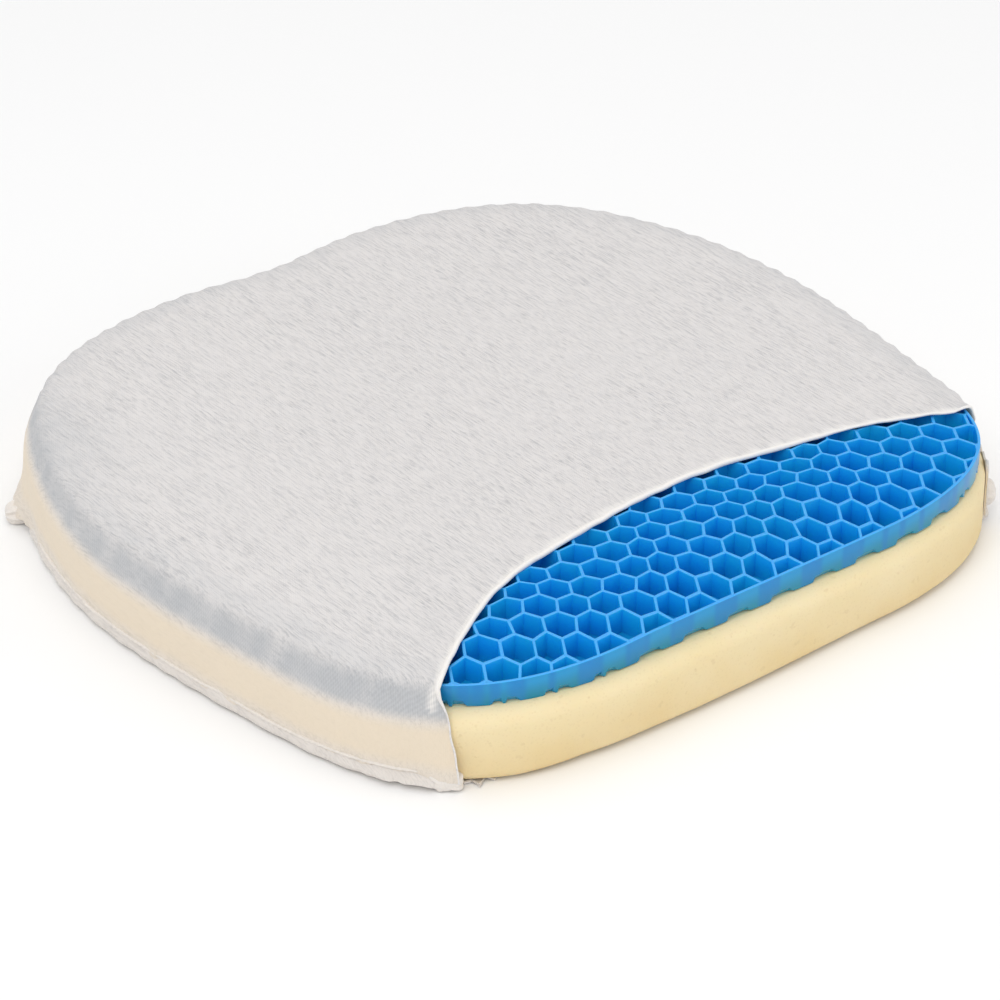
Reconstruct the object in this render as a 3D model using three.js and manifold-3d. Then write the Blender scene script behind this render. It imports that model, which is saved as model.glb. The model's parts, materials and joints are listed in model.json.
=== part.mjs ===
// Seat cushion: a moulded foam base, a honeycomb gel pad lying on it, and a sewn jersey cover
// whose front is cut away, so that the foam and the gel show.
//
// Units are millimetres and +Z is up. The origin is the centre of the underside, on the surface
// that the cushion rests on. -Y is the front, where the cover is open. +Y is the back, with its
// shallow dip in the middle.

import * as THREE from 'three';
import { mergeVertices } from 'three/addons/utils/BufferGeometryUtils.js';
import Module from 'manifold-3d';

const wasm = await Module();
wasm.setup();

// ---------------------------------------------------------------- driving dimensions

const FOAM_WIDTH = 400; // across the widest part of the sides
const FOAM_DEPTH = 376; // from the front edge to the two crests of the back edge
const FOAM_HEIGHT = 33;
const FOAM_TOP_ROUND = 8; // radius of the rounded top edge
const FOAM_BOTTOM_ROUND = 4; // radius of the rounded bottom edge

const FRONT_HALF_FLAT = 70; // half of the straight stretch of the front edge
const FRONT_CORNER_REACH = 58; // how far the front corner's curve keeps to the front edge
const SIDE_START = { inset: 14, up: 88 }; // where the front corner meets the bulging side
const SIDE_START_LEAN = { x: 12, y: 66 }; // slope and fullness of the front corner there
const SIDE_RISE = { x: 5.5, y: 31 }; // slope and fullness of the side there
const WIDEST_Y = 20; // the sides are widest here
const SIDE_FULLNESS = { front: 40, back: 46 }; // how long they stay nearly straight
const BACK_CORNER = { inset: 50, down: 32 }; // middle of each back corner's curve
const BACK_CORNER_LEAN = { x: 32, y: 28 }; // slope and fullness of its side half
const BACK_CORNER_TURN = { x: 26, y: 22.75 }; // and of its back half
const BACK_CREST_X = 52; // the back edge reaches furthest back here
const BACK_CREST_FULLNESS = { outer: 36, inner: 20 };
const BACK_DIP = 4.5; // depth of the dip in the middle of the back edge

const GEL_INSET = 8.6; // from the foam's edge in to the gel pad's rim
const GEL_HEIGHT = 13;
const NUB_HEIGHT = 3.5; // how far the cell walls stand out below the rim
const FRONT_WALL_INSET = 1.4; // from the rim's face in to the middle of the front row's walls
const NUB_INSET = 0.6; // least distance from the rim's face in to the walls below it
const RIM_WALL = 2;
const CELL_PITCH = 14; // across the flats, from one wall's middle to the next
const CELL_WALL = 1.2;
const CELL_DEPTH = 10; // depth of the cells that are cut open from above
const SMALLEST_CELL_SHARE = 0.12; // a smaller piece of a cell at the rim stays filled

const FABRIC = 1; // thickness of the jersey
const COVER_SHOULDER = 1; // how far the cover cuts the corner over the foam's top edge
const COVER_RIM_TURN = { out: 0.6, down: 1.4 }; // where it turns over the gel's rim
const SEAM_RISE = 0.7; // the seam lies this far above the foam's rounded lower edge
const SEAM_WIDTH = 4; // how far the sewn edge stands out
const SEAM_THICKNESS = 2.2; // two layers and their overlock stitches

const OPENING_LEFT = -155; // the cut runs across the front from here
const OPENING_RIGHT = 161; // to here
const OPENING_DEPTH = 87; // how far back from the front edge the cut reaches
const CUT_RADIUS = 310; // the cut is one arc
const CUT_MIDDLE_X = 22; // which reaches furthest back here

const GATHER_LENGTH = 16; // a gathered corner, measured along the seam
const GATHER_REACH = 12; // out from the side
const GATHER_DROP = 4.4; // down from the seam's underside
const GATHER_RISE = 1.8; // up from its top
const BACK_GATHER_Y = 126; // the seam's back corners lie here on the sides

const GAP = 0.3; // clearance between pieces that touch
const OUTLINE_STEPS = 96;

// ---------------------------------------------------------------- levels and derived sizes

const halfWidth = FOAM_WIDTH / 2;
const halfDepth = FOAM_DEPTH / 2;
const foamBottom = FABRIC + GAP;
const foamTop = foamBottom + FOAM_HEIGHT;
const gelBottom = foamTop + GAP;
const rimBottom = gelBottom + NUB_HEIGHT;
const gelTop = gelBottom + GEL_HEIGHT;
const seamBottom = foamBottom + FOAM_BOTTOM_ROUND + SEAM_RISE;
const seamTop = seamBottom + SEAM_THICKNESS;
const skinOut = GAP + FABRIC; // outer face of the cover's side, out from the foam

// ---------------------------------------------------------------- the cushion's outline

// The foam's plan outline, anticlockwise from the middle of the front edge.
function cushionShape() {
  const side = new THREE.Vector2(halfWidth - SIDE_START.inset, SIDE_START.up - halfDepth);
  const corner = new THREE.Vector2(halfWidth - BACK_CORNER.inset, halfDepth - BACK_CORNER.down);
  const dipY = halfDepth - BACK_DIP;
  // each row is a cubic curve on the right half: two handles and the end point
  const start = [0, -halfDepth];
  const rightHalf = [
    [start, [FRONT_HALF_FLAT, -halfDepth], [FRONT_HALF_FLAT, -halfDepth]],
    [
      [FRONT_HALF_FLAT + FRONT_CORNER_REACH, -halfDepth],
      [side.x - SIDE_START_LEAN.x, side.y - SIDE_START_LEAN.y],
      [side.x, side.y],
    ],
    [
      [side.x + SIDE_RISE.x, side.y + SIDE_RISE.y],
      [halfWidth, WIDEST_Y - SIDE_FULLNESS.front],
      [halfWidth, WIDEST_Y],
    ],
    [
      [halfWidth, WIDEST_Y + SIDE_FULLNESS.back],
      [corner.x + BACK_CORNER_LEAN.x, corner.y - BACK_CORNER_LEAN.y],
      [corner.x, corner.y],
    ],
    [
      [corner.x - BACK_CORNER_TURN.x, corner.y + BACK_CORNER_TURN.y],
      [BACK_CREST_X + BACK_CREST_FULLNESS.outer, halfDepth],
      [BACK_CREST_X, halfDepth],
    ],
    [
      [BACK_CREST_X - BACK_CREST_FULLNESS.inner, halfDepth],
      [BACK_CREST_FULLNESS.inner, dipY],
      [0, dipY],
    ],
  ];
  const shape = new THREE.Shape();
  shape.moveTo(...start);
  for (const [a, b, end] of rightHalf) {
    shape.bezierCurveTo(...a, ...b, ...end);
  }
  const mirror = ([x, y]) => [-x, y];
  for (let i = rightHalf.length - 1; i >= 0; i -= 1) {
    const [a, b] = rightHalf[i];
    const end = i > 0 ? rightHalf[i - 1][2] : start;
    shape.bezierCurveTo(...mirror(b), ...mirror(a), ...mirror(end));
  }
  return shape;
}

// Evenly spaced points of the outline, each with its outward direction.
function outlineSamples() {
  const points = cushionShape().getSpacedPoints(OUTLINE_STEPS).slice(0, OUTLINE_STEPS);
  return points.map((point, i) => {
    const before = points[(i + OUTLINE_STEPS - 1) % OUTLINE_STEPS];
    const after = points[(i + 1) % OUTLINE_STEPS];
    const along = after.clone().sub(before).normalize();
    return { point, out: new THREE.Vector2(along.y, -along.x) };
  });
}

const samples = outlineSamples();

// The point that lies `out` beyond one sample of the outline, at height z.
function place(sample, out, z) {
  return [sample.point.x + sample.out.x * out, sample.point.y + sample.out.y * out, z];
}

// ---------------------------------------------------------------- solids from sections

function geometryFrom(positions, triangles) {
  const geometry = new THREE.BufferGeometry();
  geometry.setAttribute('position', new THREE.Float32BufferAttribute(positions.flat(), 3));
  geometry.setIndex(triangles.flat());
  return geometry;
}

// A closed body through rings around the whole outline. Each ring is [out, z]; the first and the
// last are filled in flat.
function lofted(rings) {
  const n = samples.length;
  const positions = rings.flatMap(([out, z]) => samples.map((sample) => place(sample, out, z)));
  const triangles = [];
  for (let r = 0; r + 1 < rings.length; r += 1) {
    for (let i = 0; i < n; i += 1) {
      const a = r * n + i;
      const b = r * n + ((i + 1) % n);
      triangles.push([a, b, b + n], [a, b + n, a + n]);
    }
  }
  const ringPoints = (r) => positions.slice(r * n, (r + 1) * n).map(([x, y]) => new THREE.Vector2(x, y));
  const last = rings.length - 1;
  for (const [a, b, c] of THREE.ShapeUtils.triangulateShape(ringPoints(0), [])) {
    triangles.push([a, c, b]);
  }
  for (const [a, b, c] of THREE.ShapeUtils.triangulateShape(ringPoints(last), [])) {
    triangles.push([last * n + a, last * n + b, last * n + c]);
  }
  return geometryFrom(positions, triangles);
}

// A closed body swept along a run of outline samples. section(t) gives its corners as [out, z],
// anticlockwise when seen from ahead, at the share t of the run.
function swept(run, section) {
  const last = run.length - 1;
  const loops = run.map((sample, i) => section(i / last).map(([out, z]) => place(sample, out, z)));
  const m = loops[0].length;
  const triangles = [];
  for (let i = 0; i < last; i += 1) {
    for (let k = 0; k < m; k += 1) {
      const a = i * m + k;
      const b = i * m + ((k + 1) % m);
      triangles.push([a, b + m, b], [a, a + m, b + m]);
    }
  }
  const flat = section(0).map(([out, z]) => new THREE.Vector2(out, z));
  for (const [a, b, c] of THREE.ShapeUtils.triangulateShape(flat, [])) {
    triangles.push([a, b, c], [last * m + a, last * m + c, last * m + b]);
  }
  return geometryFrom(loops.flat(), triangles);
}

// The [out, z] points of a quarter-round edge, from one direction to another in degrees.
function edgeRound(out, z, radius, from, to, steps) {
  return Array.from({ length: steps + 1 }, (_, i) => {
    const angle = THREE.MathUtils.degToRad(from + ((to - from) * i) / steps);
    return [out + radius * Math.cos(angle), z + radius * Math.sin(angle)];
  });
}

// ---------------------------------------------------------------- joining and cutting

function solidFrom(geometry) {
  const bare = geometry.clone();
  bare.deleteAttribute('normal');
  bare.deleteAttribute('uv');
  const merged = mergeVertices(bare, 1e-4);
  return new wasm.Manifold(new wasm.Mesh({
    numProp: 3,
    vertProperties: merged.attributes.position.array,
    triVerts: new Uint32Array(merged.index.array),
  }));
}

function geometryOf(solid) {
  const mesh = solid.getMesh();
  const geometry = new THREE.BufferGeometry();
  geometry.setAttribute('position', new THREE.Float32BufferAttribute(mesh.vertProperties, 3));
  geometry.setIndex(new THREE.Uint32BufferAttribute(mesh.triVerts, 1));
  return geometry;
}

// An upright prism on a plan shape, from z low to z high.
function prism(points, low, high) {
  const geometry = new THREE.ExtrudeGeometry(new THREE.Shape(points), {
    depth: high - low,
    bevelEnabled: false,
  });
  return geometry.translate(0, 0, low);
}

// ---------------------------------------------------------------- the cut across the front

// How far back the cut lies at x.
function cutY(x) {
  const off = THREE.MathUtils.clamp(x, OPENING_LEFT, OPENING_RIGHT) - CUT_MIDDLE_X;
  return OPENING_DEPTH - halfDepth - CUT_RADIUS + Math.sqrt(CUT_RADIUS ** 2 - off ** 2);
}

// Everything in front of the cut and above `low`, as one tall block.
function openingBlock(low) {
  const steps = 28;
  const front = -halfDepth - SEAM_WIDTH - GATHER_REACH;
  const points = [new THREE.Vector2(OPENING_LEFT, front), new THREE.Vector2(OPENING_RIGHT, front)];
  for (let i = 0; i <= steps; i += 1) {
    const x = OPENING_RIGHT + ((OPENING_LEFT - OPENING_RIGHT) * i) / steps;
    points.push(new THREE.Vector2(x, cutY(x)));
  }
  return solidFrom(prism(points, low, gelTop + GEL_HEIGHT));
}

// ---------------------------------------------------------------- the honeycomb

const columnStep = (CELL_PITCH * Math.sqrt(3)) / 2;

// Corners of one cell with flats across `flats`, its flat sides facing front and back.
function hexagon(x, y, flats) {
  const reach = flats / Math.sqrt(3);
  return Array.from({ length: 6 }, (_, i) => {
    const angle = (i * Math.PI) / 3;
    return new THREE.Vector2(x + reach * Math.cos(angle), y + reach * Math.sin(angle));
  });
}

function insideLoop(loop, x, y) {
  let inside = false;
  for (let i = 0, j = loop.length - 1; i < loop.length; j = i, i += 1) {
    const [a, b] = [loop[i], loop[j]];
    if (a.y > y !== b.y > y && x < ((b.x - a.x) * (y - a.y)) / (b.y - a.y) + a.x) {
      inside = !inside;
    }
  }
  return inside;
}

function outlineLoop(out) {
  return samples.map((sample) => new THREE.Vector2(...place(sample, out, 0).slice(0, 2)));
}

// Centres of every cell that may touch the gel pad. The middle of the pad lies between two
// columns, and the front walls of every second column lie along the front of the rim.
function cellCentres() {
  const columns = Math.ceil(halfWidth / columnStep);
  const rows = Math.ceil(FOAM_DEPTH / CELL_PITCH);
  const frontRow = GEL_INSET + FRONT_WALL_INSET + CELL_PITCH / 2 - halfDepth;
  const centres = [];
  for (let c = -columns; c < columns; c += 1) {
    const shift = c % 2 === 0 ? 0 : -CELL_PITCH / 2;
    for (let r = 0; r <= rows; r += 1) {
      centres.push([(c + 0.5) * columnStep, frontRow + shift + r * CELL_PITCH]);
    }
  }
  return centres;
}

// The zigzag outline around a patch of whole cells.
function patchOutline(cells) {
  const key = (p) => `${p.x.toFixed(2)},${p.y.toFixed(2)}`;
  const edges = new Map();
  for (const [x, y] of cells) {
    const corners = hexagon(x, y, CELL_PITCH);
    corners.forEach((a, i) => {
      const b = corners[(i + 1) % 6];
      if (!edges.delete(`${key(b)}|${key(a)}`)) {
        edges.set(`${key(a)}|${key(b)}`, [a, b]);
      }
    });
  }
  const from = new Map([...edges.values()].map(([a, b]) => [key(a), [a, b]]));
  const first = [...from.values()][0];
  const loop = [];
  for (let edge = first; loop.length < from.size; edge = from.get(key(edge[1]))) {
    loop.push(edge[0]);
    if (key(edge[1]) === key(first[0])) break;
  }
  return loop;
}

function gelHoneycomb() {
  const rimOut = -GEL_INSET;
  const nubLoop = outlineLoop(rimOut - NUB_INSET);
  const centres = cellCentres();
  const whole = centres.filter(([x, y]) => (
    hexagon(x, y, CELL_PITCH).every((p) => insideLoop(nubLoop, p.x, p.y))
  ));
  const body = solidFrom(lofted([[rimOut, rimBottom], [rimOut, gelTop]]));
  const nubs = solidFrom(prism(patchOutline(whole), gelBottom, rimBottom + GAP));
  const pocketFloor = gelTop - CELL_DEPTH;
  const well = solidFrom(lofted([
    [rimOut - RIM_WALL, pocketFloor],
    [rimOut - RIM_WALL, gelTop + GAP],
  ]));
  const flats = CELL_PITCH - CELL_WALL;
  const wholeArea = (flats ** 2 * Math.sqrt(3)) / 2;
  const pockets = centres
    .filter(([x, y]) => y < cutY(x) + CELL_PITCH / 2)
    .map(([x, y]) => solidFrom(prism(hexagon(x, y, flats), pocketFloor, gelTop + GAP)).intersect(well))
    .filter((cell) => cell.volume() > SMALLEST_CELL_SHARE * wholeArea * CELL_DEPTH);
  return geometryOf(body.add(nubs).subtract(wasm.Manifold.union(pockets)));
}

// ---------------------------------------------------------------- foam and cover

function foamBase() {
  const low = FOAM_BOTTOM_ROUND;
  const high = FOAM_TOP_ROUND;
  return lofted([
    ...edgeRound(-low, foamBottom + low, low, -90, 0, 3),
    ...edgeRound(-high, foamTop - high, high, 0, 90, 4),
  ]);
}

// The top panel hangs down the sides, leans in over the gel's rim and lies flat on the gel.
function coverTopPanel() {
  const hem = seamTop + GAP;
  const shoulder = foamTop - FOAM_TOP_ROUND;
  const rimFace = GAP - GEL_INSET;
  const inner = [
    [rimFace, gelTop + GAP],
    [rimFace + COVER_RIM_TURN.out, gelTop - COVER_RIM_TURN.down],
    [GAP - COVER_SHOULDER, foamTop - COVER_SHOULDER],
    [GAP, shoulder],
    [GAP, hem],
  ];
  const outer = [
    [skinOut, hem],
    [skinOut, shoulder],
    [skinOut - COVER_SHOULDER, foamTop - COVER_SHOULDER + FABRIC / 2],
    [rimFace + COVER_RIM_TURN.out + FABRIC, gelTop - COVER_RIM_TURN.down + FABRIC / 2],
    [rimFace, gelTop + GAP + FABRIC],
  ];
  const shell = solidFrom(lofted([...inner, ...outer]));
  return geometryOf(shell.subtract(openingBlock(-FABRIC)));
}

// The bottom panel turns up round the foam's lower edge to meet the seam. Its turned-up edge is
// cut away at the front with the rest.
function coverBottomPanel() {
  const round = FOAM_BOTTOM_ROUND;
  const middle = foamBottom + round;
  const rim = seamBottom - GAP;
  const tray = solidFrom(lofted([
    ...edgeRound(-round, middle, round + skinOut, -90, 0, 4),
    [skinOut, rim],
    [GAP, rim],
    ...edgeRound(-round, middle, round + GAP, 0, -90, 4),
  ]));
  return geometryOf(tray.subtract(openingBlock(FABRIC)));
}

// ---------------------------------------------------------------- seams and gathered corners

// Positions along the outline are counted in steps of its samples, and may lie between two.
const stepLength = cushionShape().getLength() / samples.length;
const gatherSteps = GATHER_LENGTH / stepLength;

function sampleAt(position) {
  const n = samples.length;
  const i = Math.floor(position);
  const a = samples[((i % n) + n) % n];
  const b = samples[(((i + 1) % n) + n) % n];
  return {
    point: a.point.clone().lerp(b.point, position - i),
    out: a.out.clone().lerp(b.out, position - i).normalize(),
  };
}

// The position on the right half of the outline where one coordinate first rises past a value.
function positionWhere(axis, value) {
  const i = samples.findIndex(({ point }, k) => (
    point[axis] <= value && samples[k + 1].point[axis] > value
  ));
  const [a, b] = [samples[i].point[axis], samples[i + 1].point[axis]];
  return i + (value - a) / (b - a);
}

// The same place on the left half of the outline.
const mirrored = (position) => samples.length - position;

// Samples from one position to another, with both ends and every whole step between them.
function runBetween(from, to) {
  const positions = [from];
  for (let i = Math.ceil(from + 0.2); i < to - 0.2; i += 1) {
    positions.push(i);
  }
  return [...positions, to].map(sampleAt);
}

const seamSection = () => [
  [GAP, seamBottom],
  [skinOut + SEAM_WIDTH, seamBottom],
  [skinOut + SEAM_WIDTH, seamTop],
  [GAP, seamTop],
];

// A gathered corner is caught in the seam, and swells out, up and down in its middle.
function gatherSection(t) {
  const swell = 0.25 + 0.75 * Math.sin(Math.PI * t);
  const root = skinOut + GAP;
  const reach = THREE.MathUtils.lerp(root, GATHER_REACH, swell);
  const top = THREE.MathUtils.lerp(seamTop + GAP, seamTop + GATHER_RISE, swell);
  const bottom = THREE.MathUtils.lerp(seamBottom - GAP, seamBottom - GATHER_DROP, swell);
  return [
    [root, bottom],
    [reach, bottom],
    [reach, (bottom + top) / 2],
    [(root + reach) / 2, top],
    [root, top],
    [root, seamTop],
    [GAP, seamTop],
    [GAP, seamBottom],
    [root, seamBottom],
  ];
}

function gather(middle) {
  const steps = 8;
  const run = Array.from({ length: steps + 1 }, (_, i) => (
    sampleAt(middle + gatherSteps * (i / steps - 0.5))
  ));
  return swept(run, gatherSection);
}

// The sewn edge between two gathered corners.
function seam(from, to) {
  const clear = gatherSteps / 2 + GAP / stepLength;
  return swept(runBetween(from + clear, to - clear), seamSection);
}

// ---------------------------------------------------------------- the assembly

const foamColour = { color: 0xf0e0b4, roughness: 0.95, metalness: 0 };
const gelColour = { color: 0x1182e0, roughness: 0.35, metalness: 0 };
const jerseyColour = { color: 0xdbd8d6, roughness: 0.95, metalness: 0 };
const undersideColour = { color: 0xe9ddd6, roughness: 0.95, metalness: 0 };
const seamColour = { color: 0xeee4de, roughness: 0.9, metalness: 0 };

const group = new THREE.Group();

function addPiece(name, geometry, colour) {
  const mesh = new THREE.Mesh(geometry, new THREE.MeshStandardMaterial(colour));
  mesh.name = name;
  group.add(mesh);
}

// The front corners lie where the cut meets the seam.
const frontRight = positionWhere('x', OPENING_RIGHT);
const backRight = positionWhere('y', BACK_GATHER_Y);
const backLeft = mirrored(backRight);
const frontLeft = mirrored(positionWhere('x', -OPENING_LEFT));

addPiece('foam_base', foamBase(), foamColour);
addPiece('gel_honeycomb', gelHoneycomb(), gelColour);
addPiece('cover_top_panel', coverTopPanel(), jerseyColour);
addPiece('cover_bottom_panel', coverBottomPanel(), undersideColour);
addPiece('seam_right', seam(frontRight, backRight), seamColour);
addPiece('seam_back', seam(backRight, backLeft), seamColour);
addPiece('seam_left', seam(backLeft, frontLeft), seamColour);
addPiece('corner_gather_front_right', gather(frontRight), seamColour);
addPiece('corner_gather_back_right', gather(backRight), seamColour);
addPiece('corner_gather_back_left', gather(backLeft), seamColour);
addPiece('corner_gather_front_left', gather(frontLeft), seamColour);

export default group;
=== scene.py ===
"""Seat cushion: a moulded foam base, a honeycomb gel pad on it, and a sewn jersey cover.

The cover is cut away across the front, so that the gel and the foam show. Everything is in metres,
+Z is up and -Y is the front. Each sub-assembly is a class with its sizes and its own build method.
"""

import json
import logging
import math
from dataclasses import dataclass
from enum import Enum
from typing import Callable, Optional, Sequence, Union

import bpy
import numpy as np
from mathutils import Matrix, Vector

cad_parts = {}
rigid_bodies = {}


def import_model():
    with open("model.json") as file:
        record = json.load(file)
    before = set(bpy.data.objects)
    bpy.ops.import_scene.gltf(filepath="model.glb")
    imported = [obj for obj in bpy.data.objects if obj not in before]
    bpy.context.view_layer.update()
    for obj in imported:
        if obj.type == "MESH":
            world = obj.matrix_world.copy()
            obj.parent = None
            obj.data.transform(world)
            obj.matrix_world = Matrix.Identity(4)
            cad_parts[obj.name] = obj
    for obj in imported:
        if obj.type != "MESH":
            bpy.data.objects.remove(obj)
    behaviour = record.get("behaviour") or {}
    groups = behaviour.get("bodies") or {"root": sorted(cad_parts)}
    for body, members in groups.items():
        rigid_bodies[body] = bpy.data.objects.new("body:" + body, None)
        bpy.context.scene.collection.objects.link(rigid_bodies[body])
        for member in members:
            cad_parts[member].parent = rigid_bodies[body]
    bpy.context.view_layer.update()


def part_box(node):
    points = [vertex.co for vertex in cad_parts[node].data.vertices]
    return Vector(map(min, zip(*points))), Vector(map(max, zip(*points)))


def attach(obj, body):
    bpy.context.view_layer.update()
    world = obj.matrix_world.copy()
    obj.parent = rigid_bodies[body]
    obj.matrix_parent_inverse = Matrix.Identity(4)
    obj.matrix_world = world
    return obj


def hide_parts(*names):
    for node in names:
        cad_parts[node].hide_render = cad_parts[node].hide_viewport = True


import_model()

log = logging.getLogger("seat_cushion")

MM = 0.001
ROOT = "root"
Colour = tuple[float, float, float, float]
Place = Callable[[np.ndarray, np.ndarray], np.ndarray]
DOUBLES = 1e-6  # vertices nearer than this are one
BLOCK = 4000  # places that are compared with the outline at a time


class Slot(Enum):
    """The cushion's materials, by the names that its record gives them."""

    FOAM = "foam"
    GEL = "gel"
    JERSEY_TOP = "jersey_top"
    JERSEY_BOTTOM = "jersey_bottom"
    SEWN_EDGE = "sewn_edge"


class Part(Enum):
    """What is selected in edit mode."""

    VERTICES = "VERT"
    EDGES = "EDGE"
    FACES = "FACE"


class Combine(Enum):
    """What a boolean keeps."""

    CUT = "DIFFERENCE"
    SHARED = "INTERSECT"


# ------------------------------------------------------------------ small sums


def tint(red: float, green: float, blue: float) -> Colour:
    """A display colour, 0 to 255 in each channel, as the shader's linear one."""

    def channel(value: float) -> float:
        """One channel."""
        share = value / 255
        return share / 12.92 if share <= 0.04045 else ((share + 0.055) / 1.055) ** 2.4

    return (channel(red), channel(green), channel(blue), 1.0)


def smooth(x: np.ndarray, low: float, high: float) -> np.ndarray:
    """0 below low, 1 above high, and an even S between them."""
    share = np.clip((x - low) / (high - low), 0, 1)
    return share * share * (3 - 2 * share)


def waves(x: np.ndarray, y: np.ndarray, length: float, seed: int, count: int = 7) -> np.ndarray:
    """Soft irregular waves over a plane.

    Args:
        x: first coordinate, in metres.
        y: second coordinate, in metres.
        length: typical wave length, in metres.
        seed: a different number gives different waves.
        count: how many plain waves are summed.

    Returns:
        Values of about -1 to 1, with a mean of about 0.
    """
    rng = np.random.default_rng(seed)
    total = np.zeros(np.broadcast(x, y).shape)
    for _ in range(count):
        angle, phase = rng.uniform(0, 2 * math.pi, 2)
        turns = 2 * math.pi / (length * rng.uniform(0.7, 1.5))
        total = total + np.sin(turns * (x * math.cos(angle) + y * math.sin(angle)) + phase)
    return total / math.sqrt(count)


# ------------------------------------------------------------------ modelling by hand


def deselect() -> None:
    """Leave object mode with nothing selected."""
    if bpy.context.object and bpy.context.object.mode != "OBJECT":
        bpy.ops.object.mode_set(mode="OBJECT")
    bpy.ops.object.select_all(action="DESELECT")


def pick(piece: bpy.types.Object) -> None:
    """Select one piece and make it the active one."""
    deselect()
    piece.select_set(True)
    bpy.context.view_layer.objects.active = piece


def named(name: str) -> bpy.types.Object:
    """Name the piece that a primitive operator has just added."""
    piece = bpy.context.object
    piece.name = name
    piece.data.name = name
    return piece


def coordinates(piece: bpy.types.Object) -> np.ndarray:
    """The piece's vertices, one row each."""
    flat = np.empty(len(piece.data.vertices) * 3)
    piece.data.vertices.foreach_get("co", flat)
    return flat.reshape(-1, 3)


def move_to(piece: bpy.types.Object, places: np.ndarray) -> None:
    """Put every vertex of the piece at its row of places."""
    piece.data.vertices.foreach_set("co", np.ascontiguousarray(places, float).ravel())
    piece.data.update()


def edit(piece: bpy.types.Object, part: Part = Part.VERTICES) -> None:
    """Open the piece in edit mode with everything selected."""
    pick(piece)
    bpy.ops.object.mode_set(mode="EDIT")
    bpy.ops.mesh.select_mode(type=part.value)
    bpy.ops.mesh.select_all(action="SELECT")


def finish_edit() -> None:
    """Back to object mode."""
    bpy.ops.object.mode_set(mode="OBJECT")


def weld(piece: bpy.types.Object) -> None:
    """Merge vertices that lie on each other and turn the faces outwards."""
    edit(piece)
    bpy.ops.mesh.remove_doubles(threshold=DOUBLES)
    bpy.ops.mesh.select_all(action="SELECT")
    bpy.ops.mesh.normals_make_consistent(inside=False)
    finish_edit()


def select_faces(piece: bpy.types.Object, wanted: Callable[[bpy.types.MeshPolygon], bool]) -> None:
    """Open the piece in edit mode with only the wanted faces selected."""
    edit(piece, Part.FACES)
    bpy.ops.mesh.select_all(action="DESELECT")
    finish_edit()
    for face in piece.data.polygons:
        face.select = wanted(face)
    pick(piece)
    bpy.ops.object.mode_set(mode="EDIT")


def select_border(
    piece: bpy.types.Object, wanted: Callable[[np.ndarray, np.ndarray], bool]
) -> None:
    """Open the piece in edit mode with only the wanted open edges selected.

    Args:
        piece: the piece.
        wanted: says of an open edge, given its two ends, whether it is wanted.
    """
    edit(piece, Part.EDGES)
    bpy.ops.mesh.select_all(action="DESELECT")
    bpy.ops.mesh.select_non_manifold(extend=False)
    finish_edit()
    spots = coordinates(piece)
    for line in piece.data.edges:
        a, b = (spots[v] for v in line.vertices)
        line.select = line.select and wanted(a, b)
    pick(piece)
    bpy.ops.object.mode_set(mode="EDIT")


def fill_border(piece: bpy.types.Object, reach: float = math.inf) -> None:
    """Close the open loops with one face each and turn the faces outwards.

    Args:
        piece: the piece.
        reach: only edges whose middle lies this near the Z axis are filled.
    """
    select_border(piece, lambda a, b: math.hypot(*((a + b) / 2)[:2]) < reach)
    bpy.ops.mesh.edge_face_add()
    bpy.ops.mesh.select_all(action="SELECT")
    bpy.ops.mesh.normals_make_consistent(inside=False)
    finish_edit()


def apply(piece: bpy.types.Object, kind: str, **settings: object) -> None:
    """Add a modifier, set it up and apply it."""
    pick(piece)
    modifier = piece.modifiers.new(kind.lower(), kind)
    for key, value in settings.items():
        setattr(modifier, key, value)
    bpy.ops.object.modifier_apply(modifier=modifier.name)


def smooth_shading(piece: bpy.types.Object, degrees: float = 180.0) -> None:
    """Shade smooth, with edges sharper than the angle left crisp."""
    pick(piece)
    if degrees >= 180:
        bpy.ops.object.shade_smooth()
    else:
        bpy.ops.object.shade_smooth_by_angle(angle=math.radians(degrees))


def wrapped(name: str, around: int, along: int, place: Place) -> bpy.types.Object:
    """A grid primitive bent to a form.

    Args:
        name: the piece's name.
        around: faces in the first direction.
        along: faces in the second direction.
        place: turns grid shares u and v, 0 to 1, into rows of coordinates.

    Returns:
        The bent piece, with its doubled vertices merged.
    """
    deselect()
    bpy.ops.mesh.primitive_grid_add(x_subdivisions=around, y_subdivisions=along, size=2)
    piece = named(name)
    flat = coordinates(piece)
    move_to(piece, place((flat[:, 0] + 1) / 2, (flat[:, 1] + 1) / 2))
    edit(piece)
    bpy.ops.mesh.remove_doubles(threshold=2e-6)
    finish_edit()
    return piece


def note_values(piece: bpy.types.Object, name: str, values: np.ndarray) -> None:
    """Keep one number for each vertex, for the piece's finish to read."""
    layer = piece.data.attributes.new(name, "FLOAT", "POINT")
    layer.data.foreach_set("value", np.ascontiguousarray(values, np.float32))


def stand_for(piece: bpy.types.Object, node: str) -> None:
    """Attach the piece to the root body and hide the solid that it replaces."""
    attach(piece, ROOT)
    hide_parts(node)


# ------------------------------------------------------------------ shader wrapper


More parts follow.
